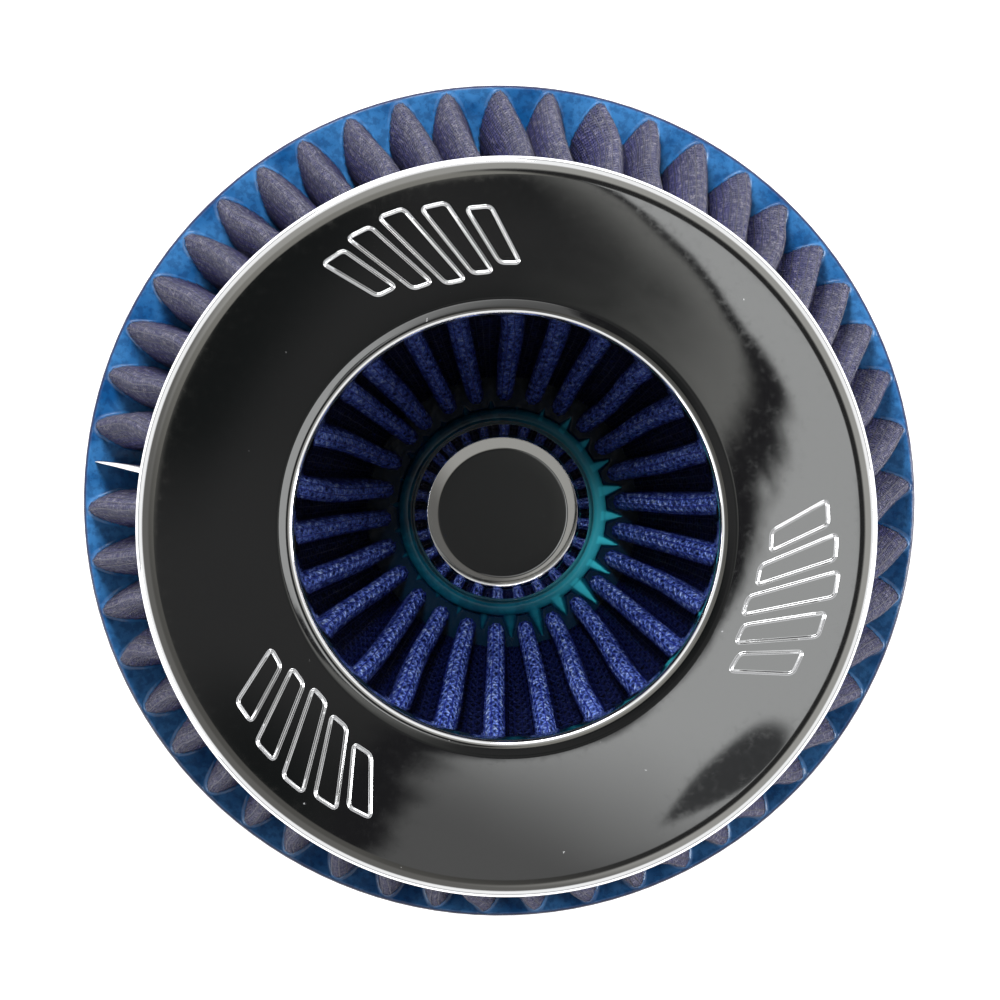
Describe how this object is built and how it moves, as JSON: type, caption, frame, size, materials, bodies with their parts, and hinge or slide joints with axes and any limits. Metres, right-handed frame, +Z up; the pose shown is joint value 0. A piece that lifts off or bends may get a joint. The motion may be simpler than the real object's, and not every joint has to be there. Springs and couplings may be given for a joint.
{
  "type": "cone air filter",
  "caption": "Tapered intake air filter: pleated gauze cone, inverted pleated inner cone, plated ring cap, and a cast rubber flange with a hose clamp.",
  "frame": {"origin": "centre of the flange neck's open end, on the surface that the filter stands on", "axes": "+Z up the filter's axis from the neck to the cap; the clamp screw lies on the -Y side, along X"},
  "size_m": [0.146, 0.146, 0.1511],
  "materials": {
    "resin_blue": "glossy cast polyurethane",
    "screen_wire": "coated woven wire",
    "gauze_grey": "oiled cotton gauze",
    "clip_metal": "bright folded strip",
    "screen_wire_blue": "coated woven wire",
    "gauze_blue": "oiled cotton gauze",
    "chrome_plate": "bright plated",
    "resin_teal": "glossy cast resin",
    "clamp_steel": "stainless strip"
  },
  "bodies": {
    "filter": {"base_flange": "resin_blue", "outer_front_screen": "screen_wire", "outer_gauze": "gauze_grey", "outer_back_screen": "screen_wire", "outer_seam_clip": "clip_metal", "inner_front_screen": "screen_wire_blue", "inner_gauze": "gauze_blue", "inner_back_screen": "screen_wire_blue", "top_cap": "chrome_plate", "top_potting": "resin_blue", "nose_potting": "resin_teal", "nose_button": "chrome_plate", "clamp_band": "clamp_steel", "clamp_housing": "clamp_steel"},
    "screw": {"clamp_screw": "clamp_steel"}
  },
  "joints": [
    {"name": "screw_turn", "type": "hinge", "parent": "filter", "child": "screw", "pos_m": [0, -0.06099, 0.0114], "axis": [1, 0, 0], "continuous": true}
  ]
}
